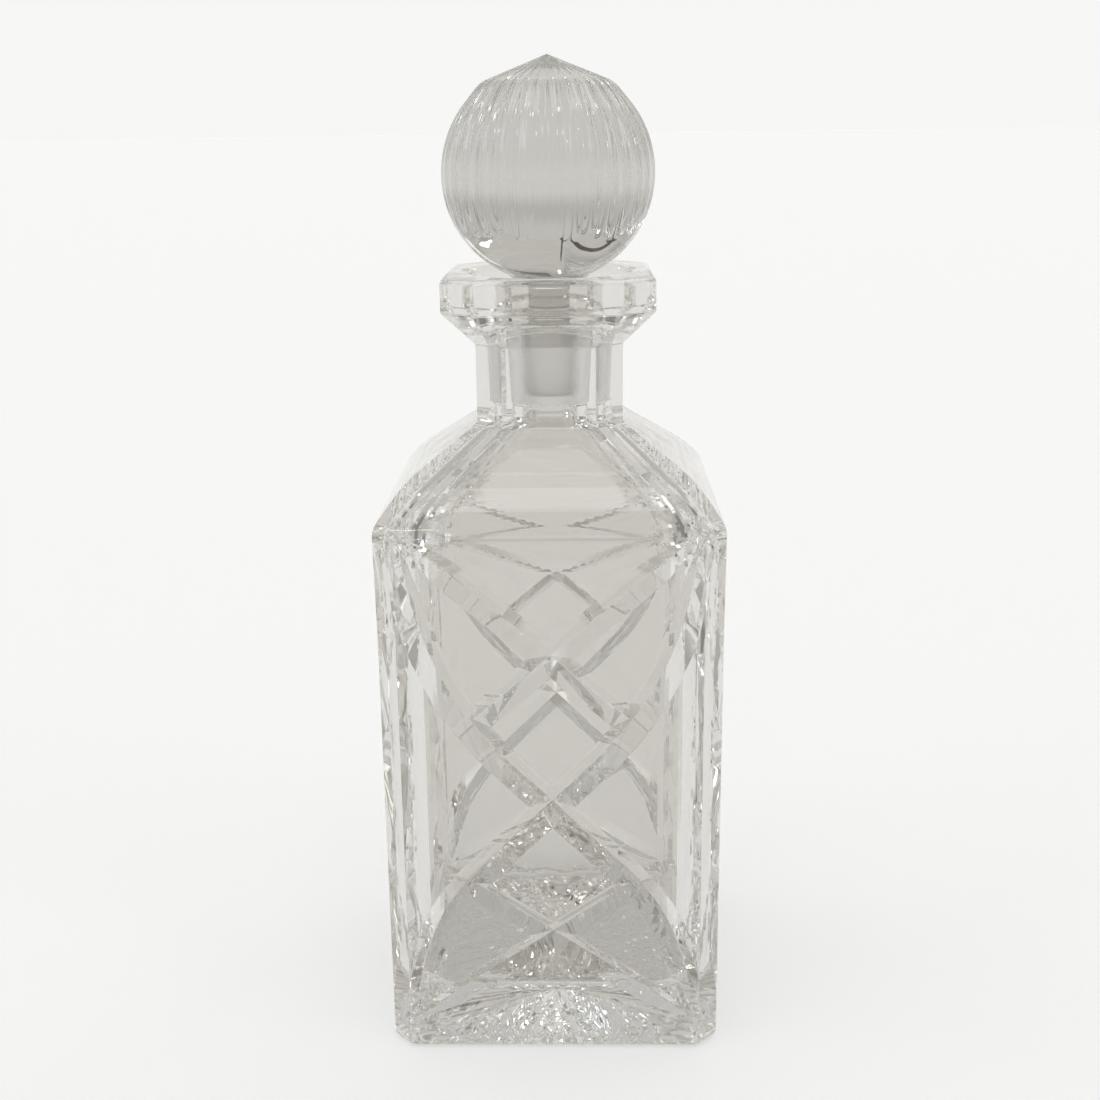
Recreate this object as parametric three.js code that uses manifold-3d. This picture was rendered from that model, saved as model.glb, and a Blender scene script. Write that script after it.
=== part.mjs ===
// A cut crystal decanter: a square bottle with a collared neck, and its ball stopper.
//
// Millimetres, +Z up. The origin is the middle of the foot, on the surface that the decanter stands
// on, and the four cut faces look along -Y, +X, +Y and -X.

import * as THREE from 'three';
import { mergeVertices } from 'three/addons/utils/BufferGeometryUtils.js';
import Module from 'manifold-3d';

const wasm = await Module();
wasm.setup();

// ---- Driving dimensions -------------------------------------------------------------------------

// Outside of the bottle. A chamfer is what a corner loses along each of its two faces.
const bodyWidth = 85;
const bodyHeight = 140.6;          // foot to the edge where the shoulder starts
const bodyChamfer = 5;
const shoulderChamfer = 2.8;       // the corner cut narrows to this at the shoulder's edge
const chamferRunOut = 26;          // height over which it narrows
const footRound = 2.2;
const shoulderRise = 20.5;
const shoulderCrown = 2;           // its faces bend over a corner this far outside a straight slope
const crownShare = 0.32;           // where that corner is, as a share of the way up the slope
const crownRound = 40;
const shoulderRound = 5;
const neckWidth = 36.8;
const neckChamfer = 6.7;
const neckHeight = 19.8;
const neckRound = 2.6;
const flareHeight = 8.5;           // the slope under the collar
const collarWidth = 52.6;
const collarChamfer = 8;
const collarHeight = 8.6;
const collarRound = 1.6;

// Inside of the bottle.
const wall = 6;
const floorThickness = 13;
const roomCorner = 10;             // radius of the room's upright corners
const roomFloorRound = 7;
const roomShoulderRound = 20;
const shoulderWall = 7.5;          // glass over the room's slope, measured upright
const boreRadius = 11;             // at the cup's floor, where the ground seat starts
const boreTaper = 0.05;            // loss of radius per millimetre of depth
const throatStep = 0.2;            // the bore is this much narrower below its seat
const seatOverrun = 2;             // the seat runs this far past the plug's end
const throatOverlap = 1.5;         // the throat reaches this far down into the room
const cupRadius = 20.6;            // the hollow in the collar, under the ball
const cupDepth = 10.5;
const cupRound = 3;
const lipRound = 2;

// Stopper.
const ballRadius = 26.7;
const tipRise = 1.7;               // the point, above the round of the ball
const capAngle = 50;               // degrees from the point to where the cap leaves the ball
const capSlope = 21.5;             // of the cone that comes to the point
const capRound = 8;
const ballLift = 7.4;              // the ball's underside, above the cup's floor
const stemRadius = 8;
const stemRound = 2.5;
const plugLength = 20.5;
const plugProud = 0.5;             // the plug's shoulder, above the cup's floor
const plugRound = 1.2;
const plugBreak = 0.4;             // chamfer round the top of the plug
const seatGap = 0.3;               // between the plug and the bore

// Flutes of the ball, each ground along a meridian.
const fluteCount = 36;
const fluteDepth = 0.5;            // where the ball is widest
const fluteStart = 12;             // degrees from the point
const fluteEnd = 121;

// Mitre cuts: straight-sided grooves. A width is that on the face.
const crossWidth = 7.6;
const crossDepth = 2.6;
const lowerCrossWidth = 6.4;
const lowerCrossDepth = 2.2;
const curveWidth = 8.4;
const curveDepth = 3.6;
const cutMargin = 1.8;             // face left between the ends of the cuts and the corner
const cutFoot = 9;                 // height of the lowest ends
const cutHead = 1;                 // the highest ends, below the shoulder's edge
const waistShare = 0.463;          // where the two curves cross, as a share of the cut height
const crossRise = 21.8;            // the upper cross stops on the curves, this far above the waist
const crossReach = 20.1;           // and this far from the middle
const lowerCrossDrop = 21.4;
const lowerCrossReach = 21.3;
const crossRunOut = 16;            // length over which a groove's end rises to the face
const curveRunOut = 26;
const endRise = 1.15;              // how far it rises, in depths of the groove

// Star cut under the foot. Each ray is a mitre cut right across, and reaches near the foot's edge.
const starCuts = 24;
const starMargin = 2.4;
const starReach = 50;              // the longest rays, in the corners, stop this far from the middle
const starWidth = 5.2;
const starDepth = 2.6;
const starRunOut = 7;

// Fineness of the facets.
const turnSegments = 40;
const arcStep = Math.PI / 9;
const roundShare = 0.48;           // of a line between two corners, the most that one round takes
const ballSteps = 13;
const lipSteps = 3;
const pathStep = 12;
const leastPathSteps = 6;
const curveSteps = 5;
const mergeDistance = 1e-4;

// ---- Heights and half widths that follow from them ----------------------------------------------

const neckZ = bodyHeight + shoulderRise;
const flareZ = neckZ + neckHeight;
const collarZ = flareZ + flareHeight;
const rimZ = collarZ + collarHeight;
const cupZ = rimZ - cupDepth;
const ballZ = cupZ + ballLift + ballRadius;
const plugZ = cupZ + plugProud;
const plugEndZ = plugZ - plugLength;
const seatEndZ = plugEndZ - seatOverrun;
const boreAt = (z) => boreRadius - (cupZ - z) * boreTaper;
const throatRadius = boreAt(seatEndZ) - throatStep;
const roomHalf = bodyWidth / 2 - wall;
const shoulderSlope = shoulderRise / ((bodyWidth - neckWidth) / 2);
const roofAt = (x) => bodyHeight - shoulderWall + (bodyWidth / 2 - x) * shoulderSlope;

// ---- Shapes -------------------------------------------------------------------------------------

// An outline with rounded corners. Each corner is [distance from the axis, height, radius].
function rounded(corners) {
  const points = [];
  corners.forEach(([x, z, wanted = 0], i) => {
    const corner = new THREE.Vector2(x, z);
    if (wanted === 0) {
      points.push(corner);
      return;
    }
    const back = new THREE.Vector2(...corners[i - 1].slice(0, 2)).sub(corner);
    const ahead = new THREE.Vector2(...corners[i + 1].slice(0, 2)).sub(corner);
    const half = back.angleTo(ahead) / 2;
    const room = roundShare * Math.min(back.length(), ahead.length());
    const reach = Math.min(wanted / Math.tan(half), room);
    const start = corner.clone().addScaledVector(back.normalize(), reach);
    const middle = back.add(ahead.normalize()).normalize();
    const centre = corner.clone().addScaledVector(middle, reach / Math.cos(half));
    const side = Math.sign(start.clone().sub(centre).cross(corner.clone().sub(centre)));
    const turn = side * (Math.PI - 2 * half);
    const steps = Math.max(1, Math.round(Math.abs(turn) / arcStep));
    for (let k = 0; k <= steps; k += 1) {
      points.push(start.clone().rotateAround(centre, (turn * k) / steps));
    }
  });
  return points;
}

// An outline turned about the Z axis.
function turned(points, segments = turnSegments, start = 0) {
  return new THREE.LatheGeometry(points, segments, start).rotateX(Math.PI / 2);
}

// An outline of half widths, as a body with four flat sides. Its sides look along X and Y, or
// halfway between them when it is set cornerwise.
function fourSided(points, cornerwise = false) {
  const corners = points.map((p) => new THREE.Vector2(p.x * Math.SQRT2, p.y));
  return turned(corners, 4, cornerwise ? 0 : Math.PI / 4);
}

// A closed geometry as a solid that can be joined and cut.
function solid(geometry) {
  const bare = new THREE.BufferGeometry();
  bare.setAttribute('position', geometry.getAttribute('position'));
  bare.setIndex(geometry.getIndex());
  const merged = mergeVertices(bare, mergeDistance);
  const index = merged.getIndex().array;
  const corners = [];
  for (let i = 0; i < index.length; i += 3) {
    const [a, b, c] = [index[i], index[i + 1], index[i + 2]];
    if (a !== b && b !== c && c !== a) corners.push(a, b, c);
  }
  const vertProperties = new Float32Array(merged.getAttribute('position').array);
  const triVerts = new Uint32Array(corners);
  return new wasm.Manifold(new wasm.Mesh({ numProp: 3, vertProperties, triVerts }));
}

// A solid as a named mesh of the group.
function piece(name, body, material) {
  const { vertProperties, triVerts } = body.getMesh();
  const geometry = new THREE.BufferGeometry();
  geometry.setAttribute('position', new THREE.BufferAttribute(vertProperties, 3));
  geometry.setIndex(new THREE.BufferAttribute(triVerts, 1));
  geometry.computeVertexNormals();
  const mesh = new THREE.Mesh(geometry, material);
  mesh.name = name;
  return mesh;
}

// ---- Mitre cuts ---------------------------------------------------------------------------------

// The path of a groove's lowest line, in the plane of the front face and then below it. Along its
// way the groove keeps its depth. Its start rises out of the face, and so does an open end.
class GroovePath extends THREE.Curve {
  constructor(points, face, depth, runOut, openEnd) {
    super();
    this.points = points;
    this.face = face;
    this.depth = depth;
    this.runOut = runOut;
    this.openEnd = openEnd;
    this.marks = [0];
    for (let i = 1; i < points.length; i += 1) {
      this.marks.push(this.marks[i - 1] + points[i].distanceTo(points[i - 1]));
    }
    this.total = this.marks.at(-1);
  }

  rise(distance) {
    const out = Math.max(0, 1 - distance / this.runOut);
    return this.depth * endRise * out * out;
  }

  getPoint(t, target = new THREE.Vector3()) {
    const along = t * this.total;
    let i = 1;
    while (i < this.points.length - 1 && this.marks[i] < along) i += 1;
    const share = (along - this.marks[i - 1]) / (this.marks[i] - this.marks[i - 1]);
    const at = this.points[i - 1].clone().lerp(this.points[i], share);
    const end = this.openEnd ? this.rise(this.total - along) : 0;
    return target.set(at.x, this.face + this.depth - this.rise(along) - end, at.y);
  }

  // The wheel stands upright on the face all along the way.
  computeFrenetFrames(steps) {
    const outward = new THREE.Vector3(0, -1, 0);
    const frames = { tangents: [], normals: [], binormals: [] };
    for (let k = 0; k <= steps; k += 1) {
      const tangent = this.getTangentAt(k / steps);
      const normal = outward.clone().projectOnPlane(tangent).normalize();
      frames.tangents.push(tangent);
      frames.normals.push(normal);
      frames.binormals.push(tangent.clone().cross(normal));
    }
    return frames;
  }
}

// What a mitre wheel takes away along a path. Points are places on the face, across and up.
function groove(points, face, width, depth, runOut, openEnd = true) {
  const path = new GroovePath(points, face, depth, runOut, openEnd);
  const above = 2 * depth;         // how far the wheel stands out of the face
  const half = (width / 2) * (1 + above / depth);
  const wheel = new THREE.Shape([
    new THREE.Vector2(0, 0),
    new THREE.Vector2(depth + above, half),
    new THREE.Vector2(depth + above, -half),
  ]);
  const steps = Math.max(leastPathSteps, Math.round(path.total / pathStep));
  return new THREE.ExtrudeGeometry(wheel, { steps, extrudePath: path });
}

// A curve from an upright start, turning evenly to 45 degrees, and then straight to its middle.
function easedCurve(outer, middle) {
  const across = Math.abs(outer.x - middle.x);
  const up = outer.y - middle.y;
  const radius = (Math.abs(up) - across) / (Math.SQRT2 - 1);
  const sideways = Math.sign(middle.x - outer.x);
  const points = [];
  for (let k = 0; k <= curveSteps; k += 1) {
    const angle = ((Math.PI / 4) * k) / curveSteps;
    const x = outer.x + sideways * radius * (1 - Math.cos(angle));
    points.push(new THREE.Vector2(x, outer.y - Math.sign(up) * radius * Math.sin(angle)));
  }
  return [...points, middle];
}

// The cuts of the front face: two long curves that cross at the waist, and a cross above and below.
function faceCuts() {
  const face = -bodyWidth / 2;
  const side = bodyWidth / 2 - bodyChamfer - cutMargin;
  const top = bodyHeight - cutHead;
  const waist = cutFoot + (top - cutFoot) * waistShare;
  const cuts = [];
  for (const hand of [-1, 1]) {
    const middle = new THREE.Vector2(0, waist);
    const upper = easedCurve(new THREE.Vector2(hand * side, top), middle);
    const lower = easedCurve(new THREE.Vector2(-hand * side, cutFoot), middle);
    const curve = [...upper, ...lower.reverse().slice(1)];
    cuts.push(groove(curve, face, curveWidth, curveDepth, curveRunOut));

    const upperCross = [
      new THREE.Vector2(hand * side, top),
      new THREE.Vector2(-hand * crossReach, waist + crossRise),
    ];
    const lowerCross = [
      new THREE.Vector2(hand * side, cutFoot),
      new THREE.Vector2(-hand * lowerCrossReach, waist - lowerCrossDrop),
    ];
    cuts.push(groove(upperCross, face, crossWidth, crossDepth, crossRunOut, false));
    cuts.push(groove(lowerCross, face, lowerCrossWidth, lowerCrossDepth, crossRunOut, false));
  }
  return cuts;
}

// The rays of the foot's star, cut from below.
function starRays() {
  const rays = [];
  for (let k = 0; k < starCuts; k += 1) {
    const turn = (Math.PI * (k + 0.5)) / starCuts;
    const nearest = Math.max(Math.abs(Math.cos(turn)), Math.abs(Math.sin(turn)));
    const reach = Math.min((bodyWidth / 2 - starMargin) / nearest, starReach);
    const ray = [new THREE.Vector2(-reach, 0), new THREE.Vector2(reach, 0)];
    const cut = groove(ray, 0, starWidth, starDepth, starRunOut);
    rays.push(cut.rotateX(Math.PI / 2).rotateZ(turn));
  }
  return rays;
}

// ---- The bottle ---------------------------------------------------------------------------------

function bottle() {
  const cornerAt = (width, chamfer) => (width - chamfer) / Math.SQRT2;
  const slope = Math.atan(shoulderSlope);
  const edge = new THREE.Vector2(bodyWidth / 2, bodyHeight);
  const crown = edge.clone().lerp(new THREE.Vector2(neckWidth / 2, neckZ), crownShare);
  crown.x += shoulderCrown * Math.sin(slope);
  crown.y += shoulderCrown * Math.cos(slope);
  const faces = rounded([
    [0, 0],
    [bodyWidth / 2, 0, footRound],
    [edge.x, edge.y, shoulderRound],
    [crown.x, crown.y, crownRound],
    [neckWidth / 2, neckZ, neckRound],
    [neckWidth / 2, flareZ],
    [collarWidth / 2, collarZ, collarRound],
    [collarWidth / 2, rimZ, collarRound],
    [0, rimZ],
  ]);
  const corners = rounded([
    [0, 0],
    [cornerAt(bodyWidth, bodyChamfer), 0, footRound],
    [cornerAt(bodyWidth, bodyChamfer), bodyHeight - chamferRunOut, shoulderRound],
    [cornerAt(bodyWidth, shoulderChamfer), bodyHeight, shoulderRound],
    [cornerAt(neckWidth, neckChamfer), neckZ, neckRound],
    [cornerAt(neckWidth, neckChamfer), flareZ],
    [cornerAt(collarWidth, collarChamfer), collarZ, collarRound],
    [cornerAt(collarWidth, collarChamfer), rimZ, collarRound],
    [0, rimZ],
  ]);
  let body = solid(fourSided(faces)).intersect(solid(fourSided(corners, true)));

  const cuts = faceCuts();
  for (let quarter = 0; quarter < 4; quarter += 1) {
    for (const cut of cuts) {
      body = body.subtract(solid(cut.clone().rotateZ((quarter * Math.PI) / 2)));
    }
  }
  for (const ray of starRays()) body = body.subtract(solid(ray));
  return body.subtract(room()).subtract(bore());
}

// The room for the drink: square with round corners, closing to the bore under the shoulder.
function room() {
  const roof = roofAt(throatRadius);
  const straight = roomHalf - roomCorner;
  const plan = new THREE.Shape();
  for (let quarter = 0; quarter < 4; quarter += 1) {
    const turn = (quarter * Math.PI) / 2;
    const centre = new THREE.Vector2(straight, straight).rotateAround(new THREE.Vector2(), turn);
    plan.absarc(centre.x, centre.y, roomCorner, turn, turn + Math.PI / 2);
  }
  const prism = new THREE.ExtrudeGeometry(plan, {
    depth: roof - floorThickness, bevelEnabled: false, curveSegments: 3,
  });
  const outline = (reach) => rounded([
    [0, floorThickness],
    [reach, floorThickness, roomFloorRound],
    [reach, roofAt(roomHalf), roomShoulderRound],
    [throatRadius, roof],
    [0, roof],
  ]);
  const cornerReach = straight * Math.SQRT2 + roomCorner;
  return solid(prism.translate(0, 0, floorThickness))
    .intersect(solid(fourSided(outline(roomHalf))))
    .intersect(solid(turned(outline(cornerReach))));
}

// The throat, the tapered bore that the plug is ground into, and the cup above it.
function bore() {
  const below = roofAt(throatRadius) - throatOverlap;
  const above = rimZ + lipRound;
  const outline = rounded([
    [0, below],
    [throatRadius, below],
    [throatRadius, seatEndZ - throatStep],
    [boreAt(seatEndZ), seatEndZ],
    [boreRadius, cupZ],
    [cupRadius, cupZ, cupRound],
    [cupRadius, rimZ - lipRound],
  ]);
  const lip = new THREE.Vector2(cupRadius + lipRound, rimZ - lipRound);
  for (let k = 1; k <= lipSteps; k += 1) {
    const angle = Math.PI * (1 - k / lipSteps / 2);
    outline.push(new THREE.Vector2(
      lip.x + lipRound * Math.cos(angle),
      lip.y + lipRound * Math.sin(angle),
    ));
  }
  outline.push(new THREE.Vector2(lip.x, above), new THREE.Vector2(0, above));
  return solid(turned(outline));
}

// ---- The stopper --------------------------------------------------------------------------------

// How deep a flute is at a place on the ball: its angle from the point, and its turn about Z.
function fluteAt(angle, turn) {
  const share = (THREE.MathUtils.radToDeg(angle) - fluteStart) / (fluteEnd - fluteStart);
  if (share <= 0 || share >= 1) return 0;
  const along = Math.sin(Math.PI * share) ** 0.4 * Math.sin(angle) ** 2;
  const across = (1 - Math.cos(turn * fluteCount)) / 2;
  return fluteDepth * along * across;
}

function stopper() {
  const tip = new THREE.Vector2(0, ballRadius + tipRise);
  const leaves = THREE.MathUtils.degToRad(capAngle);
  const fall = Math.tan(THREE.MathUtils.degToRad(capSlope));
  const onBall = (angle) => {
    return new THREE.Vector2(Math.sin(angle), Math.cos(angle)).multiplyScalar(ballRadius);
  };
  const edge = onBall(leaves);
  const along = new THREE.Vector2(-Math.cos(leaves), Math.sin(leaves));
  const toCone = (tip.y - edge.y - edge.x * fall) / (along.y + along.x * fall);
  const capEdge = edge.clone().addScaledVector(along, toCone);
  const outline = rounded([[tip.x, tip.y], [capEdge.x, capEdge.y, capRound], [edge.x, edge.y]]);
  const under = Math.PI - Math.asin((stemRadius + stemRound) / ballRadius);
  for (let k = 1; k <= ballSteps; k += 1) {
    outline.push(onBall(leaves + ((under - leaves) * k) / ballSteps));
  }
  for (const point of outline) point.y += ballZ;
  const joint = outline.at(-1);
  const plugRadius = (z) => boreAt(z) - seatGap;
  outline.push(...rounded([
    [joint.x, joint.y],
    [stemRadius, joint.y - stemRound, stemRound],
    [stemRadius, plugZ],
    [plugRadius(plugZ) - plugBreak, plugZ],
    [plugRadius(plugZ), plugZ - plugBreak],
    [plugRadius(plugEndZ), plugEndZ, plugRound],
    [0, plugEndZ],
  ]).slice(1));

  const geometry = turned(outline.reverse(), 2 * fluteCount);
  const places = geometry.getAttribute('position');
  const centre = new THREE.Vector3(0, 0, ballZ);
  const up = new THREE.Vector3(0, 0, 1);
  for (let i = 0; i < places.count; i += 1) {
    const arm = new THREE.Vector3().fromBufferAttribute(places, i).sub(centre);
    const depth = fluteAt(arm.angleTo(up), Math.atan2(arm.y, arm.x));
    arm.setLength(arm.length() - depth).add(centre);
    places.setXYZ(i, arm.x, arm.y, arm.z);
  }
  return solid(geometry);
}

// ---- The decanter -------------------------------------------------------------------------------

const crystal = new THREE.MeshStandardMaterial({
  color: 0xd6d5cf, roughness: 0.04, metalness: 0, transparent: true, opacity: 0.4,
});
const stopperCrystal = new THREE.MeshStandardMaterial({
  color: 0xd0cec8, roughness: 0.05, metalness: 0, transparent: true, opacity: 0.45,
});

const decanter = new THREE.Group();
decanter.add(piece('decanter_body', bottle(), crystal));
decanter.add(piece('stopper', stopper(), stopperCrystal));

export default decanter;
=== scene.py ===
import math
import random

import bmesh
import bpy
from mathutils import Matrix, Vector, noise


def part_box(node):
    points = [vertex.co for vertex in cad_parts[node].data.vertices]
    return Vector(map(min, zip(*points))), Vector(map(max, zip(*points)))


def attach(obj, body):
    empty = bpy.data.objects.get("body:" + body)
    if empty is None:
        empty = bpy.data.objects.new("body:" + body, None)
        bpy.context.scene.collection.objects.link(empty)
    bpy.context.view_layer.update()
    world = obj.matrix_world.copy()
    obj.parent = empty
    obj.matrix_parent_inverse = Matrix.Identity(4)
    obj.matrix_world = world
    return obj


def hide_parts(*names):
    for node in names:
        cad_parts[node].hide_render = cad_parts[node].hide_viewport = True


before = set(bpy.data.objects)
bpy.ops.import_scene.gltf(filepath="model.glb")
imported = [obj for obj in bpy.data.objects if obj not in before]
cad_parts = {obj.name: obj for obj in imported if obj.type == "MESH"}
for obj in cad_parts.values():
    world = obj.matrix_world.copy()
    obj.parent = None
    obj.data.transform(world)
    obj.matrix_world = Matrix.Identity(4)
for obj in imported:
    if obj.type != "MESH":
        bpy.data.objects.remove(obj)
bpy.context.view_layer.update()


# ---- Studio -----------------------------------------------------------------------------------
# A pale floor that runs on to a pale horizon, under a softer grey room with bright windows and a
# few dark flags. The camera stands a little above the stopper and looks down at the decanter.

mm = 0.001
scene = bpy.context.scene
camera_place = Vector((8.1 * mm, -383.6 * mm, 234.4 * mm))
camera_heading = math.radians(1.31)
camera_down = math.radians(16.05)
camera_tilt = math.radians(-0.713)
camera_lens = 48.89

camera_data = bpy.data.cameras.new("camera")
camera_data.lens = camera_lens
camera_data.sensor_width = 36
camera_data.clip_start = 0.01
camera = bpy.data.objects.new("camera", camera_data)
scene.collection.objects.link(camera)
camera.matrix_world = (
    Matrix.Translation(camera_place)
    @ Matrix.Rotation(camera_heading, 4, "Z")
    @ Matrix.Rotation(math.pi / 2 - camera_down, 4, "X")
    @ Matrix.Rotation(camera_tilt, 4, "Z")
)
scene.camera = camera
scene.view_settings.view_transform = "Standard"


def add_object(name, mesh):
    """A bmesh as a finished object at the origin."""
    data = bpy.data.meshes.new(name)
    mesh.to_mesh(data)
    mesh.free()
    made = bpy.data.objects.new(name, data)
    scene.collection.objects.link(made)
    return made


def new_material(name):
    """A material and its Principled shader."""
    made = bpy.data.materials.new(name)
    made.use_nodes = True
    return made, made.node_tree.nodes["Principled BSDF"]


pale = 0.93                         # how bright the floor and the horizon look
floor_light = 0.54                  # what the floor gives of itself, as a light table does
floor_radius, floor_drop = 30, 0.2 * mm
floor_mesh = bmesh.new()
bmesh.ops.create_circle(floor_mesh, cap_ends=True, segments=96, radius=floor_radius)
bmesh.ops.translate(floor_mesh, vec=(0, 0, -floor_drop), verts=floor_mesh.verts)
floor = add_object("floor", floor_mesh)
floor_paint, shader = new_material("floor_paint")
shader.inputs["Base Color"].default_value = (0.45, 0.449, 0.446, 1)
shader.inputs["Roughness"].default_value = 0.9
shader.inputs["Specular IOR Level"].default_value = 0.1
shader.inputs["Emission Color"].default_value = (1, 0.998, 0.996, 1)
shader.inputs["Emission Strength"].default_value = floor_light
floor.data.materials.append(floor_paint)

world = bpy.data.worlds.new("room")
scene.world = world
world.use_nodes = True
sky = world.node_tree
direction = sky.nodes.new("ShaderNodeTexCoord").outputs["Generated"]


def sky_node(kind, *inputs, **settings):
    """A node of the room's light, with its inputs linked or set in order."""
    node = sky.nodes.new(kind)
    for key, value in settings.items():
        setattr(node, key, value)
    for socket, value in zip(node.inputs, inputs):
        if isinstance(value, bpy.types.NodeSocket):
            sky.links.new(value, socket)
        elif value is not None:
            socket.default_value = value
    return node


def sky_part(axis):
    """How far the view direction goes along an axis."""
    share = sky_node("ShaderNodeVectorMath", direction, tuple(axis), operation="DOT_PRODUCT")
    return share.outputs["Value"]


def add_panel(behind, azimuth, elevation, width, tall, colour):
    """A soft-edged panel of light or dark at a place on the room's walls, with angles in degrees."""
    turn, rise = math.radians(azimuth), math.radians(elevation)
    toward = Vector((math.sin(turn) * math.cos(rise), -math.cos(turn) * math.cos(rise), math.sin(rise)))
    across = Vector((math.cos(turn), math.sin(turn), 0))
    inside = sky_part(toward)
    inside = sky_node("ShaderNodeMath", inside, 0.0, operation="GREATER_THAN").outputs[0]
    for axis, size in ((across, width), (toward.cross(across), tall)):
        half = math.sin(math.radians(size / 2))
        reach = sky_node("ShaderNodeMath", sky_part(axis), operation="ABSOLUTE").outputs[0]
        edge = sky_node("ShaderNodeMapRange", reach, half * 0.75, half * 1.15, 1.0, 0.0,
                        interpolation_type="SMOOTHSTEP").outputs[0]
        inside = sky_node("ShaderNodeMath", inside, edge, operation="MULTIPLY").outputs[0]
    mix = sky.nodes.new("ShaderNodeMix")
    mix.data_type = "RGBA"
    sky.links.new(inside, mix.inputs["Factor"])
    sky.links.new(behind, mix.inputs["A"])
    mix.inputs["B"].default_value = (*colour, 1)
    return mix.outputs["Result"]


# The tone runs from straight down at 0 to straight up at 1, with the horizon at 0.5.
upward = sky_node("ShaderNodeMapRange", sky_part((0, 0, 1)), -1.0, 1.0).outputs[0]
tone = sky.nodes.new("ShaderNodeValToRGB")
sky.links.new(upward, tone.inputs[0])
tone.color_ramp.elements[0].position = 0.535
tone.color_ramp.elements[0].color = (pale, pale * 0.997, pale * 0.985, 1)
tone.color_ramp.elements[1].position = 1.0
tone.color_ramp.elements[1].color = (0.60, 0.595, 0.57, 1)
for position, shade in ((0.58, (0.70, 0.695, 0.67, 1)), (0.68, (0.52, 0.515, 0.49, 1))):
    tone.color_ramp.elements.new(position).color = shade
light = tone.outputs[0]

# Azimuth 0 is where the front looks, and it runs towards the right side.
window_blue, window_warm, window_white = (1.9, 2.1, 2.3), (2.1, 1.95, 1.85), (1.8, 1.8, 1.76)
wall_pale = (0.82, 0.81, 0.78)
flag_brown, flag_grey, flag_soft = (0.10, 0.085, 0.07), (0.16, 0.16, 0.155), (0.27, 0.268, 0.26)
for azimuth, elevation, width, tall, colour in (
    (-62, 32, 18, 24, window_blue), (-84, 30, 10, 24, window_blue),
    (58, 34, 14, 26, window_warm), (128, 42, 16, 20, window_white),
    (-112, 46, 16, 18, window_white), (0, 76, 30, 22, window_white),
    (-28, 18, 9, 12, flag_brown), (24, 15, 7, 10, flag_grey),
    (100, 20, 32, 22, flag_soft), (-112, 20, 26, 18, flag_soft), (134, 14, 8, 10, flag_grey),
    (180, 34, 54, 42, wall_pale), (-158, 27, 3, 30, flag_brown),
    (-30, 55, 12, 10, flag_grey), (150, 60, 12, 12, flag_brown), (-60, 62, 12, 10, flag_grey),
):
    light = add_panel(light, azimuth, elevation, width, tall, colour)

# Small bare lamps all round make the cuts sparkle.
lamp, lamp_size = (8.0, 8.0, 7.8), 5
for azimuth, elevation in (
    (-15, 42), (30, 60), (75, 24), (108, 48), (155, 30), (-172, 52), (-128, 26), (-98, 52), (-44, 62),
):
    light = add_panel(light, azimuth, elevation, lamp_size, lamp_size, lamp)
sky.links.new(light, sky.nodes["Background"].inputs["Color"])

# Light turns back many times inside cut glass before it comes out.
light_turns = 24
scene.cycles.max_bounces = light_turns
scene.cycles.glossy_bounces = light_turns
scene.cycles.transmission_bounces = light_turns


# ---- Bottle -----------------------------------------------------------------------------------
# The bottle is lead crystal, blown in a square mould. Its collar, neck and corners are ground
# flat, the four sides are cut with a mitre wheel, and a star is cut under the foot.

bottle_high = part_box("decanter_body")[1]
body_half = bottle_high[0]
rim_z = bottle_high[2]
body_top = 140.6 * mm
neck_half = 18.4 * mm
neck_foot = body_top + 20.5 * mm
neck_top = neck_foot + 19.8 * mm
collar_half = 26.3 * mm
collar_foot = neck_top + 8.5 * mm
foot_round = 2.2 * mm
shoulder_round = 5 * mm
shoulder_crown = 2 * mm             # its faces bend over a low corner
crown_share = 0.32
crown_round = 40 * mm
neck_round = 2.6 * mm
neck_top_round = 0.8 * mm
collar_round = 1.6 * mm
body_chamfer = 5 * mm
shoulder_chamfer = 2.8 * mm
chamfer_run_out = 26 * mm
neck_chamfer = 6.7 * mm
collar_chamfer = 8 * mm
edge_round = 0.5 * mm

FLAT, CURVED, CUT, GROUND = range(4)
strip_width = 1.3 * mm              # narrower faces than this belong to a rounding
arc_step = math.radians(5)
weld = 1e-6


def rounded(corners, step=arc_step):
    """An outline from corners of (distance from the axis, height, radius), as (x, z) points."""
    points = []
    for i, (x, z, radius) in enumerate(corners):
        corner = Vector((x, z))
        if not radius:
            points.append(corner)
            continue
        back = Vector(corners[i - 1][:2]) - corner
        ahead = Vector(corners[i + 1][:2]) - corner
        half = back.angle(ahead) / 2
        reach = min(radius / math.tan(half), 0.48 * back.length, 0.48 * ahead.length)
        start = corner + back.normalized() * reach
        centre = corner + (back.normalized() + ahead.normalized()).normalized() * reach / math.cos(half)
        arm = start - centre
        turn = (math.pi - 2 * half) * (1 if arm.cross(corner - centre) > 0 else -1)
        steps = max(1, round(abs(turn) / step))
        for k in range(steps + 1):
            angle = turn * k / steps
            points.append(centre + Matrix.Rotation(angle, 2) @ arm)
    return points


def spun(points, sides, start=0.0, stretch=1.0):
    """A closed body: an outline turned about the Z axis in that many steps."""
    mesh = bmesh.new()
    ray = Vector((math.cos(start), math.sin(start), 0)) * stretch
    verts = [mesh.verts.new(ray * x + Vector((0, 0, z))) for x, z in points]
    edges = [mesh.edges.new(pair) for pair in zip(verts, verts[1:])]
    bmesh.ops.spin(
        mesh, geom=verts + edges, cent=(0, 0, 0), axis=(0, 0, 1),
        angle=2 * math.pi, steps=sides, use_merge=True,
    )
    bmesh.ops.remove_doubles(mesh, verts=mesh.verts, dist=weld)
    bmesh.ops.recalc_face_normals(mesh, faces=mesh.faces)
    return mesh


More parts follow.
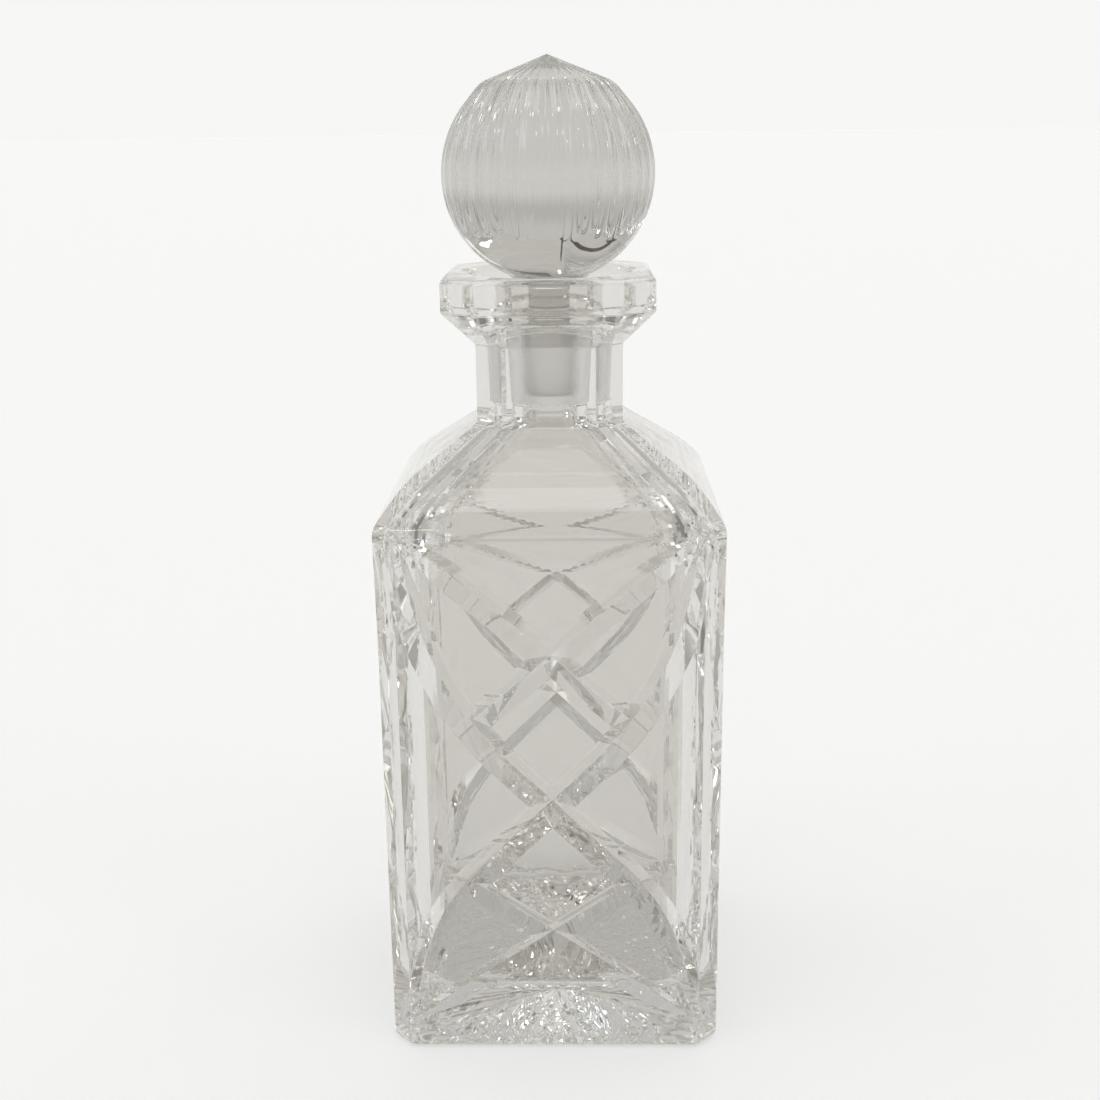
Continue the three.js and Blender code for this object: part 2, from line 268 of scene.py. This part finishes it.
def carve(target, tool, operation="DIFFERENCE"):
    """Cuts the target with the tool, or keeps what they share, and uses the tool up."""
    modifier = target.modifiers.new("carve", "BOOLEAN")
    modifier.operation = operation
    modifier.solver = "MANIFOLD"
    modifier.object = tool
    shaped = target.evaluated_get(bpy.context.evaluated_depsgraph_get())
    old = target.data
    target.data = bpy.data.meshes.new_from_object(shaped)
    target.modifiers.clear()
    bpy.data.meshes.remove(old)
    bpy.data.meshes.remove(tool.data)


def fill_index(mesh, index):
    """Gives every face of a bmesh one material slot."""
    for face in mesh.faces:
        face.material_index = index
    return mesh


# The glass is faintly warm, and its colour is darkened as painted shade standing in for the darker room
# seen through it. It has the slow waves and faint smears of polished glass.
crystal_tint_and_shade = (0.79, 0.78, 0.755, 1)
ground_tint = (0.97, 0.965, 0.95, 1)
crystal_ior = 1.545
wave_size, smear_size = 90, 35
wave_height, grain_height = 1 * mm, 0.1 * mm


def crystal(name, tint=crystal_tint_and_shade, wave=0.03, grain_size=0, grain=0.0, dull=(0.0, 0.02)):
    """Crystal glass. wave and grain are how strong they are, and dull is its range of roughness."""
    made, shader = new_material(name)
    nodes, links = made.node_tree.nodes, made.node_tree.links
    shader.inputs["Base Color"].default_value = tint
    shader.inputs["IOR"].default_value = crystal_ior
    shader.inputs["Transmission Weight"].default_value = 1
    place = nodes.new("ShaderNodeTexCoord")
    waves = nodes.new("ShaderNodeTexNoise")
    waves.inputs["Scale"].default_value = wave_size
    waves.inputs["Detail"].default_value = 1.0
    links.new(place.outputs["Object"], waves.inputs["Vector"])
    bump = nodes.new("ShaderNodeBump")
    bump.inputs["Strength"].default_value = wave
    bump.inputs["Distance"].default_value = wave_height
    links.new(waves.outputs["Fac"], bump.inputs["Height"])
    last = bump
    if grain:
        grit = nodes.new("ShaderNodeTexNoise")
        grit.inputs["Scale"].default_value = grain_size
        grit.inputs["Detail"].default_value = 3.0
        links.new(place.outputs["Object"], grit.inputs["Vector"])
        fine = nodes.new("ShaderNodeBump")
        fine.inputs["Strength"].default_value = grain
        fine.inputs["Distance"].default_value = grain_height
        links.new(grit.outputs["Fac"], fine.inputs["Height"])
        links.new(bump.outputs["Normal"], fine.inputs["Normal"])
        last = fine
    links.new(last.outputs["Normal"], shader.inputs["Normal"])
    smears = nodes.new("ShaderNodeTexNoise")
    smears.inputs["Scale"].default_value = smear_size
    smears.inputs["Detail"].default_value = 4.0
    links.new(place.outputs["Object"], smears.inputs["Vector"])
    dullness = nodes.new("ShaderNodeMapRange")
    dullness.inputs["From Min"].default_value = 0.45
    dullness.inputs["From Max"].default_value = 0.75
    dullness.inputs["To Min"].default_value = dull[0]
    dullness.inputs["To Max"].default_value = dull[1]
    links.new(smears.outputs["Fac"], dullness.inputs["Value"])
    links.new(dullness.outputs[0], shader.inputs["Roughness"])
    return made


polished_crystal = crystal("polished_crystal")
cut_crystal = crystal("cut_crystal", wave=0.02, grain_size=900, grain=0.02, dull=(0.0, 0.03))
ground_crystal = crystal("ground_crystal", ground_tint, grain_size=6000, grain=0.25, dull=(0.42, 0.5))
crystal_slots = (polished_crystal, polished_crystal, cut_crystal, ground_crystal)


def crystal_object(name, mesh):
    """A piece of crystal with a slot for each finish."""
    made = add_object(name, mesh)
    for finish in crystal_slots:
        made.data.materials.append(finish)
    return made


def corner_at(half, chamfer):
    """How far a corner's flat is from the axis."""
    return (2 * half - chamfer) / math.sqrt(2)


shoulder_slope = (neck_foot - body_top) / (body_half - neck_half)
shoulder_angle = math.atan(shoulder_slope)
crown = Vector((body_half, body_top)).lerp(Vector((neck_half, neck_foot)), crown_share)
crown += Vector((math.sin(shoulder_angle), math.cos(shoulder_angle))) * shoulder_crown
face_outline = rounded([
    (0, 0, 0),
    (body_half, 0, foot_round),
    (body_half, body_top, shoulder_round),
    (crown.x, crown.y, crown_round),
    (neck_half, neck_foot, neck_round),
    (neck_half, neck_top, neck_top_round),
    (collar_half, collar_foot, collar_round),
    (collar_half, rim_z, collar_round),
    (0, rim_z, 0),
])
corner_outline = rounded([
    (0, 0, 0),
    (corner_at(body_half, body_chamfer), 0, foot_round),
    (corner_at(body_half, body_chamfer), body_top - chamfer_run_out, shoulder_round),
    (corner_at(body_half, shoulder_chamfer), body_top, shoulder_round),
    (corner_at(neck_half, neck_chamfer), neck_foot, neck_round),
    (corner_at(neck_half, neck_chamfer), neck_top, neck_top_round),
    (corner_at(collar_half, collar_chamfer), collar_foot, collar_round),
    (corner_at(collar_half, collar_chamfer), rim_z, collar_round),
    (0, rim_z, 0),
])

bottle = crystal_object("bottle", spun(face_outline, 4, math.pi / 4, math.sqrt(2)))
carve(bottle, crystal_object("corners", spun(corner_outline, 4, 0, math.sqrt(2))), "INTERSECT")

# Ground corners meet the faces in a narrow rounding, made before the wheel cuts.
mesh = bmesh.new()
mesh.from_mesh(bottle.data)
bmesh.ops.remove_doubles(mesh, verts=mesh.verts, dist=2 * weld)
bmesh.ops.dissolve_limit(mesh, angle_limit=math.radians(0.4), verts=mesh.verts, edges=mesh.edges)
bluntest, sharpest = math.radians(28), math.radians(65)
least_upright = 0.35                # leaves out the level edges
arrises = [
    e for e in mesh.edges
    if e.is_manifold and bluntest < e.calc_face_angle() < sharpest
    and abs((e.verts[0].co - e.verts[1].co).normalized().z) > least_upright
]
bmesh.ops.bevel(
    mesh, geom=arrises, offset=edge_round, offset_type="OFFSET", segments=4,
    profile=0.5, affect="EDGES", clamp_overlap=True, material=-1,
)
for face in mesh.faces:
    longest = max(e.calc_length() for e in face.edges)
    face.material_index = CURVED if face.calc_area() / longest < strip_width else FLAT
mesh.to_mesh(bottle.data)
mesh.free()

# Mitre cuts. Two long curves cross at the waist of each side, with a straight cross above and
# one below. The wheel leaves the glass slowly, so that each open end narrows to a point.
curve_width, curve_depth, curve_run_out = 8.4 * mm, 3.6 * mm, 26 * mm
cross_width, cross_depth = 7.6 * mm, 2.6 * mm
lower_cross_width, lower_cross_depth = 6.4 * mm, 2.2 * mm
cross_run_out = 16 * mm
cut_side = body_half - body_chamfer - 1.8 * mm
cut_top = body_top - 1 * mm
cut_foot = 9 * mm
waist = cut_foot + (cut_top - cut_foot) * 0.463
cross_end = Vector((20.1 * mm, waist + 21.8 * mm))
lower_cross_end = Vector((21.3 * mm, waist - 21.4 * mm))
wheel_step = 1.2 * mm
wheel_tip = 0.08 * mm               # half the width of the wheel's worn tip
arris = 0.22 * mm                   # half the width of the softened edge of a cut
end_rise = 1.15                     # how far the wheel rises at an open end, in depths of the cut


def walked(points, step):
    """The same path in even steps."""
    places = []
    for a, b in zip(points, points[1:]):
        count = max(1, round((b - a).length / step))
        places += [a.lerp(b, k / count) for k in range(count)]
    return places + [points[-1]]


def mitre(path, face, width, depth, run_out, open_end=True):
    """What the mitre wheel takes away along a path of (across, up) places on the front face."""
    places = walked(path, wheel_step)
    marks = [0.0]
    for a, b in zip(places, places[1:]):
        marks.append(marks[-1] + (b - a).length)

    def rise(distance):
        return depth * end_rise * max(0.0, 1 - distance / run_out) ** 2

    axis = []
    for place, mark in zip(places, marks):
        lift = rise(mark) + (rise(marks[-1] - mark) if open_end else 0)
        axis.append(Vector((place.x, face + depth - lift, place.y)))
    frames = []
    for i, at in enumerate(axis):
        along = (axis[min(i + 1, len(axis) - 1)] - axis[max(i - 1, 0)]).normalized()
        out = Vector((0, -1, 0))
        out = (out - along * out.dot(along)).normalized()
        side = along.cross(out)
        frames.append(Matrix.Translation(at) @ Matrix((out, side, along)).transposed().to_4x4())
    top, half = 3 * depth, width / 2
    section = [
        (0, wheel_tip), (depth - 0.4 * arris, half - arris), (depth + 0.4 * arris, half + arris),
        (top, half + 2 * depth), (top, -half - 2 * depth), (depth + 0.4 * arris, -half - arris),
        (depth - 0.4 * arris, arris - half), (0, -wheel_tip),
    ]
    mesh = bmesh.new()
    verts = [mesh.verts.new(frames[0] @ Vector((o, s, 0))) for o, s in section]
    ring = [mesh.edges.new((verts[i - 1], verts[i])) for i in range(len(verts))]
    bmesh.ops.contextual_create(mesh, geom=ring)
    for before, after in zip(frames, frames[1:]):
        made = bmesh.ops.extrude_edge_only(mesh, edges=ring)["geom"]
        moved = [g for g in made if isinstance(g, bmesh.types.BMVert)]
        ring = [g for g in made if isinstance(g, bmesh.types.BMEdge)]
        bmesh.ops.transform(mesh, matrix=after @ before.inverted(), verts=moved)
    bmesh.ops.contextual_create(mesh, geom=ring)
    bmesh.ops.recalc_face_normals(mesh, faces=mesh.faces)
    return fill_index(mesh, CUT)


def eased(outer, middle):
    """A curve that leaves its outer end upright, turns evenly to 45 degrees and runs on straight."""
    across, up = abs(outer.x - middle.x), outer.y - middle.y
    radius = (abs(up) - across) / (math.sqrt(2) - 1)
    inward = 1 if middle.x > outer.x else -1
    down = -1 if up > 0 else 1
    points = []
    steps = 24
    for k in range(steps + 1):
        angle = math.pi / 4 * k / steps
        points.append(outer + Vector((
            inward * radius * (1 - math.cos(angle)), down * radius * math.sin(angle))))
    return points + [middle]


def side_cuts():
    """The cuts of the front side, as bmeshes."""
    cuts = []
    middle = Vector((0, waist))
    for hand in (-1, 1):
        upper = eased(Vector((hand * cut_side, cut_top)), middle)
        lower = eased(Vector((-hand * cut_side, cut_foot)), middle)
        cuts.append(mitre(upper + lower[-2::-1], -body_half, curve_width, curve_depth, curve_run_out))
        for start, end, width, depth in (
            (Vector((hand * cut_side, cut_top)), Vector((-hand * cross_end.x, cross_end.y)),
             cross_width, cross_depth),
            (Vector((hand * cut_side, cut_foot)), Vector((-hand * lower_cross_end.x, lower_cross_end.y)),
             lower_cross_width, lower_cross_depth),
        ):
            cuts.append(mitre([start, end], -body_half, width, depth, cross_run_out, open_end=False))
    return cuts


for quarter in range(4):
    turned = Matrix.Rotation(quarter * math.pi / 2, 3, "Z")
    for cut in side_cuts():
        bmesh.ops.rotate(cut, cent=(0, 0, 0), matrix=turned, verts=cut.verts)
        carve(bottle, crystal_object("wheel", cut))

# The star under the foot: mitre cuts right across, through one middle, out to the foot's edge.
# They are cut by hand, so they are a little uneven.
star_cuts = 24
star_depth = 2.6 * mm
star_margin = 2.4 * mm
star_reach = 50 * mm
star_run_out = 7 * mm
cutter = random.Random(5)
for k in range(star_cuts):
    turn = math.pi * (k + 0.5 + cutter.uniform(-0.08, 0.08)) / star_cuts
    depth = star_depth * cutter.uniform(0.85, 1.1)
    across = max(abs(math.cos(turn)), abs(math.sin(turn)))
    reach = min((body_half - star_margin) / across, star_reach)
    ray = mitre([Vector((-reach, 0)), Vector((reach, 0))], 0, 2 * depth, depth, star_run_out)
    upright = Matrix.Rotation(turn, 3, "Z") @ Matrix.Rotation(math.pi / 2, 3, "X")
    bmesh.ops.rotate(ray, cent=(0, 0, 0), matrix=upright, verts=ray.verts)
    carve(bottle, crystal_object("wheel", ray))

# The room: blown glass, so its walls wave a little and its corners are wide and soft.
wall = 6 * mm
floor_z = 13 * mm
room_half = body_half - wall
room_corner = 10 * mm
room_floor_round = 7 * mm
room_middle = 0.5 * mm              # its rings close on a small flat middle
roof_round = 20 * mm
shoulder_wall = 7.5 * mm
throat_radius = 9.7 * mm
throat_round = 6 * mm
throat_overlap = 4 * mm
room_turns = 240
roof_step, wall_step = 1 * mm, 4 * mm
fine_arc = math.radians(2)
squareness = 1.8                    # how fast the room turns from square to round towards its throat
wall_wave, wave_length = 0.004, 30 * mm
floor_lump, lump_size = 0.7 * mm, 7 * mm    # the blown floor is uneven
lump_rise = 5 * mm                  # how far up the walls its lumps die out


def roof_at(x):
    """The height of the room's sloping roof at a distance from the axis."""
    return body_top - shoulder_wall + (body_half - x) * shoulder_slope


def square_reach(angle, half, corner):
    """The distance from the middle to the edge of a round-cornered square, in one direction."""
    a = abs((angle + math.pi / 4) % (math.pi / 2) - math.pi / 4)
    straight = half - corner
    if half * math.tan(a) <= straight:
        return half / math.cos(a)
    along = straight * (math.cos(a) + math.sin(a))
    return along + math.sqrt(along * along - 2 * straight * straight + corner * corner)


def room_mesh():
    """What the room takes out of the glass: level rings from its floor up into the throat."""
    levels = rounded([
        (room_middle, floor_z, 0),
        (room_half, floor_z, room_floor_round),
        (room_half, roof_at(room_half), roof_round),
        (throat_radius, roof_at(throat_radius), throat_round),
        (throat_radius, roof_at(throat_radius) + throat_overlap, 0),
    ], fine_arc)
    walls = []
    for a, b in zip(levels, levels[1:]):
        step = wall_step if abs(a.x - b.x) < 0.1 * mm else roof_step
        count = max(1, round((b - a).length / step))
        walls += [a.lerp(b, k / count) for k in range(count)]
    walls.append(levels[-1])
    mesh = bmesh.new()
    bmesh.ops.create_circle(mesh, segments=room_turns, radius=1)
    ring = list(mesh.edges)
    moved = list(mesh.verts)
    for i, level in enumerate(walls):
        if i:
            made = bmesh.ops.extrude_edge_only(mesh, edges=ring)["geom"]
            moved = [g for g in made if isinstance(g, bmesh.types.BMVert)]
            ring = [g for g in made if isinstance(g, bmesh.types.BMEdge)]
        share = level.x / room_half
        straight = (room_half - room_corner) * (share ** squareness if level.y > floor_z * 2 else share)
        for vert in moved:
            angle = math.atan2(vert.co.y, vert.co.x)
            reach = square_reach(angle, level.x, level.x - straight)
            wave = noise.noise(Vector((math.cos(angle), math.sin(angle), level.y / wave_length)) * 1.7)
            reach *= 1 + wall_wave * wave * share
            vert.co = (reach * math.cos(angle), reach * math.sin(angle), level.y)
            flat = min(1.0, max(0.0, 1 - (level.y - floor_z) / lump_rise))
            lump = noise.noise(vert.co / lump_size) + 0.5 * noise.noise(vert.co / lump_size * 2.1)
            vert.co.z += floor_lump * lump * flat
        if not i:
            bmesh.ops.contextual_create(mesh, geom=ring)
    bmesh.ops.contextual_create(mesh, geom=ring)
    bmesh.ops.recalc_face_normals(mesh, faces=mesh.faces)
    return fill_index(mesh, CURVED)


carve(bottle, crystal_object("room", room_mesh()))

# The bore is ground to take the plug, and the cup above it is polished.
stopper_low, stopper_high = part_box("stopper")
plug_end = stopper_low[2]
cup_depth = 10.5 * mm
cup_z = rim_z - cup_depth
bore_radius = 11 * mm
bore_taper = 0.05
cup_radius = 20.6 * mm
cup_round = 3 * mm
lip_round = 2 * mm
seat_overrun = 2 * mm
seat_step = 0.2 * mm
bore_mouth_round = 0.5 * mm
seat_end = plug_end - seat_overrun
bore_overlap = 3 * mm
bore_turns, lip_steps = 144, 12
near = 0.3 * mm                     # tells the ground faces from the polished ones beside them


def bore_at(z):
    """The radius of the ground bore at a height."""
    return bore_radius - (cup_z - z) * bore_taper


def bore_mesh():
    """What the throat, the bore and the cup take out of the glass."""
    below = roof_at(throat_radius) - bore_overlap
    above = rim_z + lip_round
    points = rounded([
        (0, below, 0),
        (throat_radius, below, 0),
        (throat_radius, seat_end - seat_step, 0),
        (bore_at(seat_end), seat_end, 0),
        (bore_radius, cup_z, bore_mouth_round),
        (cup_radius, cup_z, cup_round),
        (cup_radius, rim_z - lip_round, 0),
    ])
    lip = Vector((cup_radius + lip_round, rim_z - lip_round))
    for k in range(1, lip_steps + 1):
        angle = math.pi - math.pi / 2 * k / lip_steps
        points.append(lip + Vector((math.cos(angle), math.sin(angle))) * lip_round)
    points += [Vector((lip.x, above)), Vector((0, above))]
    mesh = spun(points, bore_turns)
    for face in mesh.faces:
        middle = face.calc_center_median()
        seat = seat_end < middle.z < cup_z - near and middle.xy.length < bore_radius + near
        face.material_index = GROUND if seat else CURVED
    return mesh


carve(bottle, crystal_object("bore", bore_mesh()))

sharp_angle = math.radians(22)


def finish_glass(piece):
    """Rounded and cut faces are shaded smooth up to their edges, and flat ones are left flat."""
    mesh = bmesh.new()
    mesh.from_mesh(piece.data)
    bmesh.ops.remove_doubles(mesh, verts=mesh.verts, dist=weld)
    bmesh.ops.dissolve_degenerate(mesh, edges=mesh.edges, dist=weld)
    for face in mesh.faces:
        face.smooth = face.material_index != FLAT
    for edge in mesh.edges:
        meets_flat = any(face.material_index == FLAT for face in edge.link_faces)
        edge.smooth = edge.is_manifold and not meets_flat and edge.calc_face_angle() < sharp_angle
    mesh.to_mesh(piece.data)
    mesh.free()


finish_glass(bottle)
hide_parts("decanter_body")
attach(bottle, "decanter")


# ---- Stopper ----------------------------------------------------------------------------------
# The stopper is one solid piece of the same crystal: a ball that comes to a low point, cut with
# upright flutes, on a short stem. Its plug is ground to fit the bore and has a satin surface.

ball_radius = 26.7 * mm
tip_rise = 1.7 * mm
ball_z = stopper_high[2] - ball_radius - tip_rise
cap_angle = math.radians(50)
cap_slope = math.radians(21.5)
cap_round = 8 * mm
stem_radius = 8 * mm
stem_round = 2.5 * mm
stem_foot_round = 0.6 * mm
plug_proud = 0.5 * mm
plug_top = cup_z + plug_proud
plug_break, plug_round = 0.4 * mm, 1.2 * mm
plug_polish = 1 * mm                # the end of the plug is left polished
seat_gap = 0.3 * mm
ball_tint_and_shade = (0.60, 0.592, 0.565, 1)     # deeper than the bottle's: painted shade on the same crystal
ball_crystal_with_painted_shade = crystal("ball_crystal_with_painted_shade", ball_tint_and_shade)

# The flutes are cut by hand, so their depths and their lower ends differ a little.
flutes = 36
flute_depth = 0.75 * mm
ridge = 0.18                        # how far the ridge between two flutes is rounded
flute_start, flute_end = math.radians(12), math.radians(121)
flute_share = [cutter.uniform(0.7, 1.3) for flute in range(flutes)]
flute_lower = [math.radians(cutter.uniform(-3, 3)) for flute in range(flutes)]
flute_steps = 16
cap_rows, ball_rows = 12, 70


def plug_radius(z):
    """The radius of the plug at a height."""
    return bore_at(z) - seat_gap


def on_ball(angle):
    """A point of the ball's outline, from its middle, at an angle from straight up."""
    return Vector((math.sin(angle), math.cos(angle))) * ball_radius


# The cap is a low cone that comes to the point and bends over to meet the ball.
tip = Vector((0, stopper_high[2] - ball_z))
leaves = on_ball(cap_angle)
fall = math.tan(cap_slope)
along = Vector((-math.cos(cap_angle), math.sin(cap_angle)))
cap_edge = leaves + along * (tip.y - leaves.y - leaves.x * fall) / (along.y + along.x * fall)
cap = [tip.lerp(cap_edge, k / cap_rows / 2) for k in range(cap_rows)]
outline = cap + rounded([(*cap[-1], 0), (*cap_edge, cap_round), (*leaves, 0)], fine_arc)[1:]
under = math.pi - math.asin((stem_radius + stem_round) / ball_radius)
outline += [on_ball(cap_angle + (under - cap_angle) * k / ball_rows) for k in range(1, ball_rows + 1)]
outline = [point + Vector((0, ball_z)) for point in outline]
joint = outline[-1]
outline += rounded([
    (joint.x, joint.y, 0),
    (stem_radius, joint.y - stem_round, stem_round),
    (stem_radius, plug_top, stem_foot_round),
    (plug_radius(plug_top), plug_top, plug_break),
    (plug_radius(plug_end), plug_end, plug_round),
    (0, plug_end, 0),
])[1:]
stopper_mesh = spun(outline, flutes * flute_steps)
ball_middle = Vector((0, 0, ball_z))
for vert in stopper_mesh.verts:
    arm = vert.co - ball_middle
    angle = arm.angle(Vector((0, 0, 1)))
    turn = math.atan2(arm.y, arm.x) / math.tau * flutes
    end = flute_end + flute_lower[math.floor(turn) % flutes]
    share = (angle - flute_start) / (end - flute_start)
    if 0 < share < 1:
        across = math.hypot(math.sin(turn * math.pi), ridge) - ridge
        run = math.sin(math.pi * share) ** 0.4 * math.sin(angle) ** 1.4
        depth = flute_depth * flute_share[math.floor(turn) % flutes] * run * across
        vert.co = ball_middle + arm * (1 - depth / arm.length)
for face in stopper_mesh.faces:
    middle = face.calc_center_median()
    seat = plug_end + plug_polish < middle.z < plug_top - near and middle.xy.length > stem_radius + near
    face.material_index = GROUND if seat else CURVED
stopper = crystal_object("stopper_ball", stopper_mesh)
# The ball's polished faces take the darker crystal, which is painted shade.
stopper.data.materials[CURVED] = ball_crystal_with_painted_shade
finish_glass(stopper)
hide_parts("stopper")
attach(stopper, "stopper")
